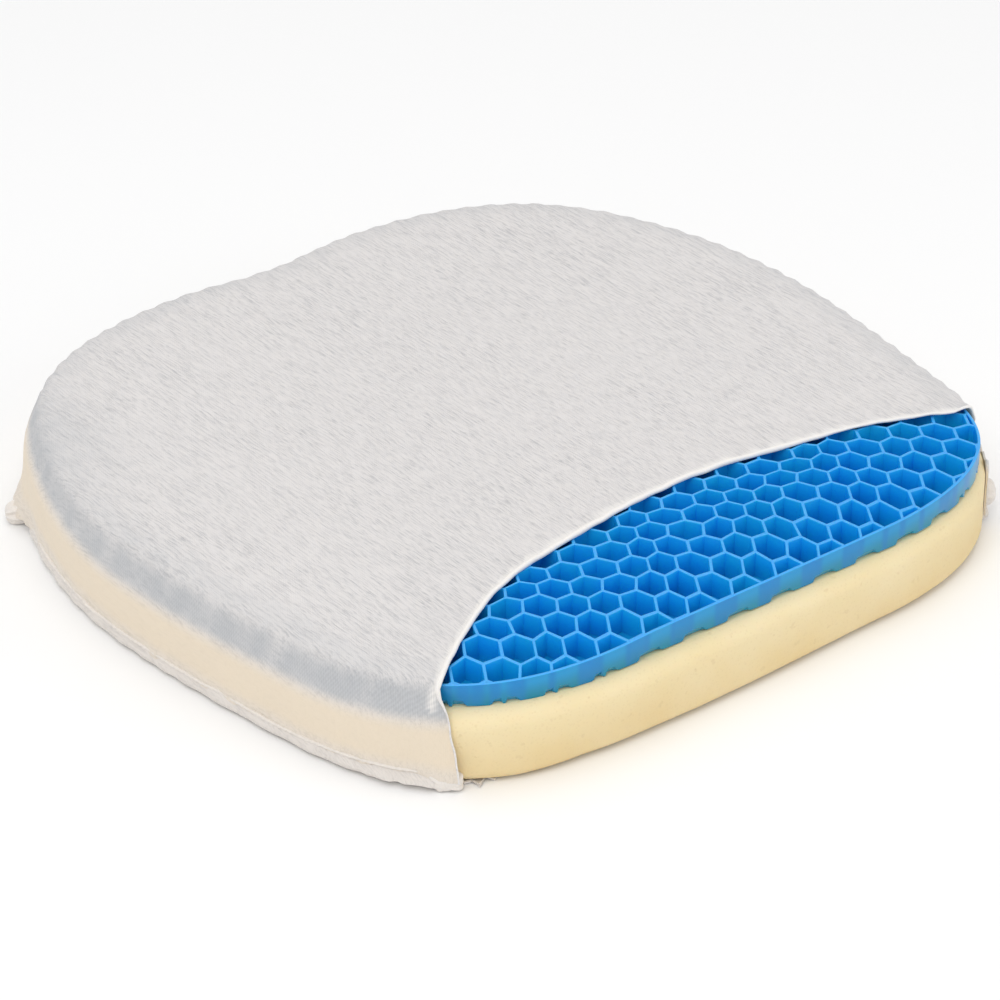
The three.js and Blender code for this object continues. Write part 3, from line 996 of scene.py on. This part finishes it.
@dataclass
class GelPad:
    """The honeycomb pad: open cells above, short open cells below, and a smooth rim."""

    outline: Outline
    lattice: Lattice
    bottom: float
    top: float
    inset: float = 8.2 * MM
    rim_low: float = 35.3 * MM
    rim_wall: float = 1.2 * MM
    cell_wall: float = 1.45 * MM
    cell_depth: float = 11.6 * MM
    edge_round: float = 0.4 * MM
    around: int = 1300
    tab_pitch: float = 24.3 * MM

    def _hexagons(
        self,
        name: str,
        levels: Sequence[tuple[float, float]],
        reach: float,
        keep: Optional[Callable[[np.ndarray], np.ndarray]] = None,
    ) -> bpy.types.Object:
        """One cell's hollow, modelled once and copied to every cell.

        Args:
            name: the name of the whole set.
            levels: height and widening of the hollow there, from the lowest.
            reach: how far from the origin cells are wanted.
            keep: says which of the cells, given their centres, are made.

        Returns:
            All hollows as one piece.
        """
        across = self.lattice.pitch - self.cell_wall
        deselect()
        bpy.ops.mesh.primitive_cylinder_add(vertices=6, radius=1.0, depth=1.0)
        cell = named(name)
        spots = coordinates(cell)
        turned = np.arctan2(spots[:, 1], spots[:, 0])
        steps = np.rint((turned - turned[0]) / (math.pi / 3))
        angle = self.lattice.turn + steps * math.pi / 3
        upper = spots[:, 2] > 0

        def corner(widen: float) -> float:
            """From the middle to a corner of the widened hollow."""
            return (across / 2 + widen) / math.cos(math.pi / 6)

        height = np.where(upper, levels[1][0], levels[0][0])
        radius = np.where(upper, corner(levels[1][1]), corner(levels[0][1]))
        move_to(cell, np.column_stack([radius * np.cos(angle), radius * np.sin(angle), height]))
        for (z, widen), (below_z, below) in zip(levels[2:], levels[1:]):
            floor = below_z - DOUBLES
            select_faces(cell, lambda face: face.center.z > floor and face.normal.z > 0.9)
            bpy.ops.mesh.extrude_region_move(TRANSFORM_OT_translate={"value": (0, 0, z - below_z)})
            share = corner(widen) / corner(below)
            bpy.ops.transform.resize(value=(share, share, 1), center_override=(0, 0, z))
            finish_edit()
        single = coordinates(cell)
        faces = [tuple(face.vertices) for face in cell.data.polygons]
        centres = self.lattice.centres(reach)
        if keep is not None:
            centres = centres[keep(centres)]
        count = len(single)
        places = (single[None] + np.pad(centres, ((0, 0), (0, 1)))[:, None]).reshape(-1, 3)
        copies = [tuple(v + i * count for v in face) for i in range(len(centres)) for face in faces]
        places[:, :2] = self.lattice.drawn(places[:, :2])
        mesh = bpy.data.meshes.new(name)
        mesh.from_pydata(places.tolist(), [], copies)
        cell.data = mesh
        return cell

    def _lower_edge(self, share: np.ndarray) -> np.ndarray:
        """How far the rim's lower edge stands above the pad's bottom: tabs, arches and nubs."""
        run = (np.mod(share + 0.5, 1.0) - 0.5) * self.outline.length
        step = np.mod(run / self.tab_pitch + 0.80, 1.0)
        tab = smooth(step, 0.42, 0.50) * (1 - smooth(step, 0.96, 0.99))
        sag = 0.45 * MM * (1 - (step - 0.52) / 0.48)
        arch = 3.4 * MM - 0.5 * MM * np.abs(np.cos(math.pi * step / 0.45))
        lift = arch * (1 - tab) + sag * tab
        nub = (1 - smooth(np.abs(step - 0.2), 0.015, 0.05)) * ((run < -0.085) | (run > 0.11))
        return lift * (1 - nub)

    def _loft(
        self,
        name: str,
        rings: Sequence[tuple[float, float]],
        lift: Optional[Callable[[np.ndarray], np.ndarray]] = None,
    ) -> bpy.types.Object:
        """A closed body round the pad's outline.

        Args:
            name: the body's name.
            rings: rows of out and height, from the lowest.
            lift: what is added to the second row's height, by the share of the way round.

        Returns:
            The body.
        """
        table = np.array(rings)

        def place(u: np.ndarray, v: np.ndarray) -> np.ndarray:
            """Where each grid share lies."""
            point, out = self.outline.at(u)
            row = np.rint(v * (len(table) - 1)).astype(int)
            z = table[row, 1] + (lift(u) * (row == 1) if lift else 0)
            return np.column_stack([point + out * table[row, :1], z])

        body = wrapped(name, self.around, len(table) - 1, place)
        fill_border(body)
        return body

    @staticmethod
    def _combine(body: bpy.types.Object, tool: bpy.types.Object, how: Combine) -> None:
        """Apply one boolean and throw the tool away."""
        apply(body, "BOOLEAN", operation=how.value, solver="MANIFOLD", object=tool)
        bpy.data.objects.remove(tool, do_unlink=True)

    def build(self) -> bpy.types.Object:
        """Model the pad, settle it on the foam and give it its finish."""
        face = -self.inset
        r = self.edge_round
        rounding = [
            (face - r * (1 - math.cos(a)), self.top - r * (1 - math.sin(a)))
            for a in np.radians([0, 30, 60, 90])
        ]
        below = [
            (face - 2.5 * MM, self.bottom),
            (face, self.bottom + 0.3 * MM),
            (face, self.bottom + 5 * MM),
        ]
        pad = self._loft("gel_pad", [*below, *rounding], self._lower_edge)
        floor = self.top - self.cell_depth
        over = self.top + 2 * MM
        upper = self._hexagons(
            "cells_above",
            [
                (floor, -0.25 * MM),
                (self.top - r, 0.0),
                (self.top - r * 0.3, r * 0.3),
                (self.top, r),
                (over, r),
            ],
            self.outline.half_width,
        )
        wall = face - self.rim_wall
        well = self._loft("well", [(wall - 0.4 * MM, floor - 1 * MM), (wall, over + 1 * MM)])
        self._combine(upper, well, Combine.SHARED)
        self._combine(pad, upper, Combine.CUT)
        lower = self._hexagons(
            "cells_below",
            [(self.bottom - 1 * MM, 0.15 * MM), (self.bottom, 0.15 * MM), (self.rim_low, 0.0)],
            self.outline.half_width,
            self._hollow_below,
        )
        self._combine(pad, lower, Combine.CUT)
        apply(pad, "TRIANGULATE")
        weld(pad)
        self._note(pad)
        self._settle(pad)
        smooth_shading(pad, 32)
        dress(pad, GelFinish().make())
        stand_for(pad, "gel_honeycomb")
        return pad

    def _hollow_below(self, centres: np.ndarray) -> np.ndarray:
        """Only whole cells are hollow below; the rim has its own lower edge."""
        return self._inset_of(self.lattice.drawn(centres)) > self.inset + 11 * MM

    def _inset_of(self, spots: np.ndarray) -> np.ndarray:
        """How far points lie inside the foam's outline."""
        return self.outline.nearest(spots, 720)[2]

    def _note(self, pad: bpy.types.Object) -> None:
        """Keep depth below the top, the rim's face and nearness to the rim and to a wall, for the
        finish's painted shade and light.
        """
        spots = coordinates(pad)
        inset = self._inset_of(spots)
        note_values(pad, "depth", (self.top - spots[:, 2]) / (self.top - self.bottom))
        note_values(pad, "rim_face", (inset < self.inset + 0.5 * MM).astype(float))
        note_values(pad, "rim_near", 1 - smooth(inset, 9 * MM, 26 * MM))
        near = self.lattice.to_wall(spots[:, 0], spots[:, 1])
        note_values(pad, "wall_near", 1 - smooth(near, 0.5 * MM, 2.6 * MM))

    def _settle(self, pad: bpy.types.Object) -> None:
        """Let the soft pad follow the foam: a slight crown, a drooping rim, uneven cells."""
        spots = coordinates(pad)
        x, y = spots[:, 0], spots[:, 1]
        inset = self._inset_of(spots)
        inner = smooth(inset, self.inset + 2 * MM, self.inset + 16 * MM)
        spots[:, 0] += 0.9 * MM * waves(x, y, 42 * MM, 3) * inner
        spots[:, 1] += 1.1 * MM * waves(x, y, 42 * MM, 8) * inner
        spots[:, 2] += crown_at(x, y)
        self._slump(spots, inset)
        move_to(pad, spots)

    def _slump(self, spots: np.ndarray, inset: np.ndarray) -> None:
        """The uncovered front rim has crept outwards and sunk a little on the soft foam."""
        x, y = spots[:, 0].copy(), spots[:, 1].copy()
        sink = np.interp(x, RIM_STATIONS, np.array([2.2, 1.4, 0.3, 0.6, 0.8, 0.8, 0.5, 0.2]) * MM)
        near = 1 - smooth(inset, self.inset, self.inset + 34 * MM)
        front = near * (1 - smooth(y, -110 * MM, -50 * MM))
        spots[:, :2] = crept(spots[:, :2], near)
        upper = smooth(spots[:, 2], self.bottom + 4 * MM, self.top - 1 * MM)
        spots[:, 2] -= sink * front * (0.35 + 0.65 * upper) + 0.9 * MM * upper * front**2


# ------------------------------------------------------------------ cover


@dataclass
class CoverTop:
    """The jersey over the top and down the sides, cut away in front."""

    outline: Outline
    lattice: Lattice
    opening: Opening
    hem: float
    gel_top: float
    foam_top: float
    gel_inset: float
    thickness: float = 0.9 * MM
    around: int = 400
    gathers: Sequence[tuple[float, float, float]] = ()
    flare: float = 3.8 * MM
    roll: float = 1.25 * MM
    steps: int = 1440

    def _profile(self) -> np.ndarray:
        """Rows of out and height of the outer face, from the hem up to the flat top."""
        top = self.gel_top + self.thickness + 0.35 * MM
        rim = -self.gel_inset
        return np.array(
            [
                (1.5 * MM, self.hem),
                (1.55 * MM, self.hem + 6 * MM),
                (1.5 * MM, self.foam_top - 10 * MM),
                (1.0 * MM, self.foam_top - 4 * MM),
                (-0.6 * MM, self.foam_top + 0.5 * MM),
                (-2.6 * MM, self.foam_top + 5.0 * MM),
                (rim + 4.1 * MM, top - 5.0 * MM),
                (rim + 3.1 * MM, top - 2.4 * MM),
                (rim + 1.6 * MM, top - 0.7 * MM),
                (rim - 1.0 * MM, top + 0.1 * MM),
                (rim - 6.0 * MM, top + 0.25 * MM),
                (rim - 14 * MM, top + 0.3 * MM),
                (rim - 24 * MM, top + 0.3 * MM),
            ]
        )

    def _smooth_profile(self, count: int) -> np.ndarray:
        """The profile at even steps of its own length, rounded between its points."""
        rough = self._profile()
        run = np.concatenate([[0], np.cumsum(np.hypot(*np.diff(rough, axis=0).T))])
        fine = np.linspace(0, run[-1], 600)
        line = np.column_stack([np.interp(fine, run, rough[:, k]) for k in (0, 1)])
        kernel = np.hanning(31)
        kernel /= kernel.sum()
        padded = np.vstack([np.repeat(line[:1], 15, 0), line, np.repeat(line[-1:], 15, 0)])
        soft = np.column_stack([np.convolve(padded[:, k], kernel, "valid") for k in (0, 1)])
        soft[0], soft[-1] = line[0], line[-1]
        every = np.arange(len(soft))
        some = np.linspace(0, len(soft) - 1, count)
        return np.column_stack([np.interp(some, every, soft[:, k]) for k in (0, 1)])

    def build(self) -> bpy.types.Object:
        """Model the panel and give it its finish."""
        side_rows, top_rows = 40, 34
        profile = self._smooth_profile(side_rows + 1)
        rows = side_rows + top_rows
        centre = np.array([0.0, -6 * MM])

        def place(u: np.ndarray, v: np.ndarray) -> np.ndarray:
            """Where each grid share lies."""
            point, out = self.outline.at(u)
            row = np.rint(v * rows).astype(int)
            edge = np.minimum(row, side_rows)
            away, z = profile[edge, 0], profile[edge, 1]
            spot = point + out * away[:, None]
            share = np.clip((row - side_rows) / top_rows, 0, 1)
            share = 1 - (1 - share) ** 1.15
            spot = centre + (spot - centre) * (1 - share)[:, None]
            return np.column_stack([spot, z])

        panel = wrapped("cover_top", self.around, rows, place)
        self._drape(panel)
        self._cut(panel)
        self._note(panel)
        self._finish(panel)
        return panel

    def _drape(self, panel: bpy.types.Object) -> None:
        """Sag between the gel's walls, stand out at the cut corner, crown the middle."""
        spots = coordinates(panel)
        x, y, z = spots.T.copy()
        rim = smooth(z, self.foam_top, self.foam_top + 7 * MM)
        near = self.lattice.to_wall(x, y)
        on_gel = smooth(z, self.gel_top - 1 * MM, self.gel_top + 1 * MM)
        spots[:, 2] -= 0.3 * MM * smooth(near, 1 * MM, 5 * MM) * on_gel
        step, away, inside = self.outline.nearest(spots, self.steps)
        run = step / self.steps * self.outline.length
        turns = 2 * math.pi * run / (self.lattice.pitch * 0.93)
        dip = 0.5 - 0.5 * np.cos(turns + 0.8 * waves(run, run, 160 * MM, 4))
        edge = rim * smooth(inside, 30 * MM, 8 * MM)
        spots[:, :2] -= away * (0.7 * MM * dip * edge)[:, None]
        spots[:, 2] -= 0.4 * MM * dip * edge
        low = 1 - smooth(z, 9 * MM, 30 * MM)
        ripple = waves(run, z * 0.5, 24 * MM, 31) * 0.5 * MM + waves(run, z, 9 * MM, 32) * 0.18 * MM
        spots[:, :2] += away * (np.abs(ripple) * (0.25 + low))[:, None]
        tongue = (1 - smooth(np.abs(x - self.opening.left), 0, 13 * MM)) * (y < -100 * MM)
        spots[:, :2] += away * (self.flare * tongue * (1 - smooth(z, 6 * MM, 30 * MM)))[:, None]
        spots[:, :2] = crept(spots[:, :2], edge)
        for gather, reach, wide in self.gathers:
            apart = np.abs(np.mod(step / self.steps - gather + 0.5, 1.0) - 0.5)
            apart *= self.outline.length
            pull = (1 - smooth(apart, 0, wide)) * (1 - smooth(z, 7 * MM, 27 * MM))
            folds = 1 + 0.28 * np.cos(apart * 2 * math.pi / (7.5 * MM)) * smooth(apart, 0, 6 * MM)
            spots[:, :2] += away * (reach * pull**2 * folds)[:, None]
        spots[:, 2] += crown_at(x, y) * smooth(z, self.foam_top, self.gel_top)
        spots[:, 2] += 0.2 * MM * (1 + waves(x, y, 70 * MM, 21)) * rim
        move_to(panel, spots)

    def _cut(self, panel: bpy.types.Object) -> None:
        """Cut the opening: the arc is straightened, bisected and bent back."""
        half_depth = self.outline.half_depth
        spots = coordinates(panel)
        bend = self.opening.back_at(spots[:, 0], half_depth)
        spots[:, 1] -= bend
        move_to(panel, spots)
        for point, normal in (
            ((0, 0, 0), (0, 1, 0)),
            ((self.opening.left, 0, 0), (1, 0, 0)),
            ((self.opening.right, 0, 0), (1, 0, 0)),
            ((0, 0, self.foam_top - 5 * MM), (0, 0, 1)),
        ):
            edit(panel)
            bpy.ops.mesh.bisect(plane_co=point, plane_no=normal)
            finish_edit()
        select_faces(panel, lambda face: self._cut_away(face.center))
        bpy.ops.mesh.delete(type="FACE")
        finish_edit()
        spots = coordinates(panel)
        spots[:, 1] += self.opening.back_at(spots[:, 0], half_depth)
        x, y, z = spots.T.copy()
        loose = (x > self.opening.right - 12 * MM) * (1 - smooth(y, -135 * MM, -128 * MM))
        tear = np.abs(waves(x + y, y, 9 * MM, 91))
        tear *= smooth(z, self.foam_top - 10 * MM, self.foam_top - 5 * MM)
        spots[:, 2] += loose * tear * 2.8 * MM * (z < self.foam_top - 4 * MM)
        spots[:, 0] -= loose * 0.7 * MM * (z < self.foam_top)
        move_to(panel, spots)

    def _cut_away(self, c: Vector) -> bool:
        """Whether a place lies in the opening, once its arc is straightened."""
        torn = c.x > self.opening.right and c.z > self.foam_top - 5 * MM
        return c.y < 0 and c.x > self.opening.left and (c.x < self.opening.right or torn)

    def _note(self, panel: bpy.types.Object) -> None:
        """Keep what lies behind the cloth for the finish."""
        spots = coordinates(panel)
        x, y, z = spots.T
        blotch = 0.85 + 0.15 * waves(x, y, 16 * MM, 14)
        z = z - 4.5 * MM * smooth(y, 10 * MM, 120 * MM) * smooth(-x, 120 * MM, 180 * MM)
        gel = smooth(z, 30 * MM, 36 * MM) * (1 - 0.9 * smooth(z, 40 * MM, 49.5 * MM))
        gel *= 1 + 0.3 * (1 - smooth(y, -150 * MM, -70 * MM))
        near_rim = self.outline.nearest(spots, self.steps)[2]
        band = 0.34 * (1 - smooth(near_rim, 9 * MM, 30 * MM)) * smooth(z, 44 * MM, 48 * MM)
        cells = 1 - 0.22 * smooth(self.lattice.to_wall(x, y), 1 * MM, 5 * MM)
        note_values(panel, "over_gel", np.clip(np.maximum(gel, band) * blotch * cells * 1.1, 0, 1))
        foam = (1 - smooth(z, 26 * MM, 36 * MM)) * (0.6 + 0.4 * smooth(z, 8 * MM, 15 * MM))
        note_values(panel, "over_foam", foam)
        gap = np.abs(y - self.opening.back_at(x, self.outline.half_depth))
        inside = (x > self.opening.left - 4 * MM) & (x < self.opening.right + 4 * MM)
        note_values(panel, "cut", (1 - smooth(gap, 0.5 * MM, 2.5 * MM)) * inside)

    def _rolled_edge(self, panel: bpy.types.Object) -> bpy.types.Object:
        """The raw edge curls into a roll: the cut's own edge loop, given a round section."""
        before = set(bpy.data.objects)
        select_border(panel, self._along_cut)
        bpy.ops.mesh.duplicate()
        bpy.ops.mesh.separate(type="SELECTED")
        finish_edit()
        (roll,) = set(bpy.data.objects) - before
        roll.name = "rolled_edge"
        pick(roll)
        bpy.ops.object.convert(target="CURVE")
        curve = bpy.context.object.data
        curve.bevel_depth = self.roll
        curve.bevel_resolution = 3
        curve.use_fill_caps = True
        for spline in curve.splines:
            for spot in spline.points:
                x, _, z, _ = spot.co
                thick = 0.55 + 0.45 * (1 - smooth(np.array(x), 60 * MM, 130 * MM))
                thick *= 0.35 + 0.65 * smooth(np.array(z), 36 * MM, 48 * MM)
                spot.radius = float(thick)
        bpy.ops.object.convert(target="MESH")
        roll = bpy.context.object
        round_edge = coordinates(roll)
        x, y, z = round_edge.T
        wobble = np.column_stack([waves(x, y + z, 17 * MM, k, 5) for k in (41, 42, 43)])
        move_to(roll, round_edge + wobble * 0.22 * MM + [0, -0.4 * MM, -0.3 * MM])
        note_values(roll, "cut", 0.35 + 0.65 * smooth(z, 38 * MM, 48 * MM))
        note_values(roll, "over_gel", np.zeros(len(round_edge)))
        note_values(roll, "over_foam", np.zeros(len(round_edge)))
        return roll

    def _along_cut(self, a: np.ndarray, b: np.ndarray) -> bool:
        """Whether an open edge, given its ends, belongs to the cut and not to the hem."""
        hem = max(a[2], b[2]) < self.hem + 1 * MM
        middle = 0.5 * (a[0] + b[0])
        front = max(a[1], b[1]) < self.opening.back_at(middle, self.outline.half_depth) + 3 * MM
        front = front and (middle < self.opening.right + 1 * MM or a[2] > self.foam_top)
        return bool(front and not hem)

    def _finish(self, panel: bpy.types.Object) -> None:
        """Give the cloth its thickness, its rolled cut edge and its finish."""
        roll = self._rolled_edge(panel)
        apply(panel, "SOLIDIFY", thickness=self.thickness, offset=-1.0, use_even_offset=True)
        pick(panel)
        roll.select_set(True)
        bpy.context.view_layer.objects.active = panel
        bpy.ops.object.join()
        smooth_shading(panel, 60)
        dress(panel, JerseyFinish().make())
        stand_for(panel, "cover_top_panel")


@dataclass
class CoverBottom:
    """The jersey under the foam, turned up to the seam; only a strip stands out at the cut."""

    outline: Outline
    opening: Opening
    bunched: float = 0.0
    thickness: float = 0.8 * MM
    around: int = 400

    def build(self) -> bpy.types.Object:
        """Model the panel and give it its finish."""
        flat = [(-140, 0.0), (-90, 0.0), (-50, 0.0), (-22, 0.0), (-10, 0.0), (-4, 0.05), (-1, 0.3)]
        lip = [(1.2, 1.0), (2.5, 2.2), (3.0, 3.6), (2.9, 5.0), (2.4, 6.3), (1.7, 7.4), (1.3, 8.1)]
        profile = np.array(flat + lip) * MM
        rows = len(profile) - 1

        def place(u: np.ndarray, v: np.ndarray) -> np.ndarray:
            """Where each grid share lies."""
            point, out = self.outline.at(u)
            x, y = point.T
            row = np.rint(v * rows).astype(int)
            away, z = profile[row, 0].copy(), profile[row, 1].copy()
            inside = smooth(x, self.opening.left - 1 * MM, self.opening.left + 5 * MM)
            inside *= 1 - smooth(x, self.opening.right - 5 * MM, self.opening.right + 1 * MM)
            inside *= y < 0
            ragged = 1 + 0.35 * waves(x, y, 6 * MM, 51)
            strip = (1 - smooth(x, -150 * MM, -112 * MM)) * inside * ragged
            z = z * (1 - inside) + np.minimum(z, 1.1 * MM) * inside
            away = away * (1 - inside) + np.minimum(away, (-14.0 + 14.8 * strip) * MM) * inside
            run = u * self.outline.length
            ripple = np.sin(run * 2 * math.pi / (19 * MM) + 2 * waves(x, y, 60 * MM, 52))
            away += 0.4 * MM * ripple * smooth(z, 0.5 * MM, 3 * MM)
            z += 0.3 * MM * waves(x, y, 26 * MM, 53) * smooth(z, 3 * MM, 7 * MM)
            apart = (run - self.bunched * self.outline.length) / (24 * MM)
            bunch = np.exp(-(apart**2)) * (1 - inside)
            bunch *= smooth(z, 0.5 * MM, 3.5 * MM) * (1 - smooth(z, 4 * MM, 7.5 * MM))
            away += 3.0 * MM * bunch * (1 + 0.3 * np.cos(run * 2 * math.pi / (8.5 * MM)))
            spot = point + out * np.maximum(away, -22 * MM)[:, None]
            spot *= 1 + np.minimum(away + 22 * MM, 0)[:, None] / (170 * MM)
            return np.column_stack([spot, z])

        panel = wrapped("cover_bottom", self.around, rows, place)
        fill_border(panel, reach=80 * MM)
        apply(panel, "SOLIDIFY", thickness=self.thickness, offset=-1.0)
        note_values(panel, "over_foam", np.full(len(panel.data.vertices), 0.25))
        smooth_shading(panel, 60)
        plain = JerseyFinish("cushion_jersey_bottom", over_gel=tint(214, 210, 208), heather=0.6)
        dress(panel, plain.make())
        stand_for(panel, "cover_bottom_panel")
        return panel


@dataclass
class SewnEdge:
    """The overlocked seam between the two panels, with its small stitches."""

    outline: Outline
    height: float
    out: float = 1.75 * MM
    half_width: float = 1.25 * MM
    half_height: float = 0.8 * MM
    stitch: float = 3.1 * MM
    drop: float = 0.5 * MM

    def build(self, name: str, node: str, start: float, end: float) -> bpy.types.Object:
        """Model one run of the seam.

        Args:
            name: the piece's name.
            node: the solid that it stands for.
            start: share of the way round where the run starts.
            end: share where it ends.

        Returns:
            The finished run.
        """
        length = (end - start) * self.outline.length
        steps = int(length / (self.stitch / 5))

        def place(u: np.ndarray, v: np.ndarray) -> np.ndarray:
            """Where each grid share lies."""
            point, out = self.outline.at(start + (end - start) * v)
            run = v * length
            pull = 0.5 + 0.5 * np.cos(2 * math.pi * run / self.stitch)
            size = 1 - 0.22 * pull
            turn = 2 * math.pi * u
            away = 0.3 * MM * waves(run, run, 30 * MM, 61) + self.half_width * size * np.cos(turn)
            rise = 0.4 * MM * waves(run, run, 55 * MM, 62) + self.half_height * size * np.sin(turn)
            taper = smooth(np.minimum(run, length - run), 0.0, 1.5 * MM)
            spot = point + out * (self.out + away * taper)[:, None]
            return np.column_stack([spot, self.height - self.drop + rise * taper])

        piece = wrapped(name, 10, steps, place)
        weld(piece)
        smooth_shading(piece)
        note_values(piece, "cut", np.full(len(piece.data.vertices), 0.3))
        note_values(piece, "over_foam", np.full(len(piece.data.vertices), 0.4))
        dress(piece, JerseyFinish("cushion_" + name, heather=0.2).make())
        stand_for(piece, node)
        return piece


@dataclass
class GatheredCorner:
    """Spare cloth bunched at a corner of the seam."""

    outline: Outline
    reach: float = 9.0 * MM
    half_width: float = 7.5 * MM
    half_height: float = 4.6 * MM
    height: float = 5.4 * MM
    folds: int = 7
    crease: float = 1.0

    def build(self, name: str, node: str, share: float, seed: int) -> bpy.types.Object:
        """Model one gather.

        Args:
            name: the piece's name.
            node: the solid that it stands for.
            share: where it is, as a share of the way round.
            seed: makes its folds its own.

        Returns:
            The finished gather.
        """
        rng = np.random.default_rng(seed)
        phase = rng.uniform(0, 2 * math.pi, 4)
        (point,), (out,) = self.outline.at(np.array([share]))
        along = np.array([-out[1], out[0]])

        def place(u: np.ndarray, v: np.ndarray) -> np.ndarray:
            """Where each grid share lies."""
            turn = 2 * math.pi * u
            body = np.sin(math.pi * np.clip(v, 0, 1)) ** 0.78
            crease = 0.13 * np.cos(self.folds * turn + phase[0] + 1.5 * v)
            crease = crease + 0.08 * np.cos((self.folds + 4) * turn + phase[1] - 2 * v)
            bulk = body * (1 + self.crease * crease * (0.35 + v))
            lump = 1 + 0.12 * np.cos(turn + phase[2])
            away = -2.2 * MM + (self.reach + 2.2 * MM) * (1 - np.cos(math.pi * v)) / 2
            side = self.half_width * bulk * lump * np.cos(turn)
            z = self.height - 1.8 * MM * v + self.half_height * bulk * np.sin(turn)
            z = np.maximum(z, 0.25 * MM)
            spot = point + out * away[:, None] + along * side[:, None]
            return np.column_stack([spot, z])

        piece = wrapped(name, 72, 26, place)
        weld(piece)
        smooth_shading(piece)
        note_values(piece, "cut", np.full(len(piece.data.vertices), 0.35))
        note_values(piece, "over_foam", np.full(len(piece.data.vertices), 0.3))
        dress(piece, JerseyFinish("cushion_" + name, heather=0.5).make())
        stand_for(piece, node)
        return piece


# ------------------------------------------------------------------ the whole cushion


def main() -> None:
    """Build every sub-assembly in order."""
    logging.basicConfig(level=logging.INFO, format="%(name)s: %(message)s")
    foam_low, foam_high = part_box("foam_base")
    gel_low, gel_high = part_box("gel_honeycomb")
    top_low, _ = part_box("cover_top_panel")
    outline = Outline(half_width=round(foam_high.x, 4), half_depth=-foam_low.y)
    lattice = Lattice()
    opening = Opening()

    Studio().build()
    log.info("studio ready")
    FoamBase(outline, foam_low.z, foam_high.z).build()
    log.info("foam block ready")
    GelPad(outline, lattice, gel_low.z, gel_high.z).build()
    log.info("gel pad ready")
    corners = {
        "front_right": outline.share_where(1, -0.148),
        "back_right": outline.share_where(1, 0.122),
        "back_left": 1 - outline.share_where(1, 0.122),
        "front_left": 1 - outline.share_where(0, -opening.left) - 0.0005,
    }
    pulls = [
        (corners["back_left"], 6 * MM, 34 * MM),
        (corners["back_right"], 6 * MM, 34 * MM),
        (corners["front_right"], 1.2 * MM, 20 * MM),
    ]
    CoverTop(
        outline,
        lattice,
        opening,
        hem=top_low.z - 3.2 * MM,
        gel_top=gel_high.z,
        foam_top=foam_high.z,
        gel_inset=8.6 * MM,
        gathers=pulls,
    ).build()
    log.info("top panel ready")
    CoverBottom(outline, opening, corners["front_left"] - 0.010).build()
    log.info("bottom panel ready")
    _, seam_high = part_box("seam_back")
    seam = SewnEdge(outline, seam_high.z)
    gap = 6 * MM / outline.length
    for side, (start, end) in {
        "right": ("front_right", "back_right"),
        "back": ("back_right", "back_left"),
        "left": ("back_left", "front_left"),
    }.items():
        seam.build("sewn_edge_" + side, "seam_" + side, corners[start] + gap, corners[end] - gap)
    log.info("seams ready")
    usual = GatheredCorner(outline, reach=12 * MM)
    near = GatheredCorner(outline, reach=5.5 * MM, half_width=8 * MM, folds=6, crease=0.8)
    torn = GatheredCorner(
        outline, reach=7 * MM, half_width=5 * MM, half_height=6 * MM, height=12 * MM
    )
    shapes = {"front_left": near, "front_right": torn}
    for seed, (corner, share) in enumerate(corners.items()):
        gather = shapes.get(corner, usual)
        gather.build("gather_" + corner, "corner_gather_" + corner, share, 70 + seed)
    log.info("gathers ready")


if __name__ == "__main__":
    main()
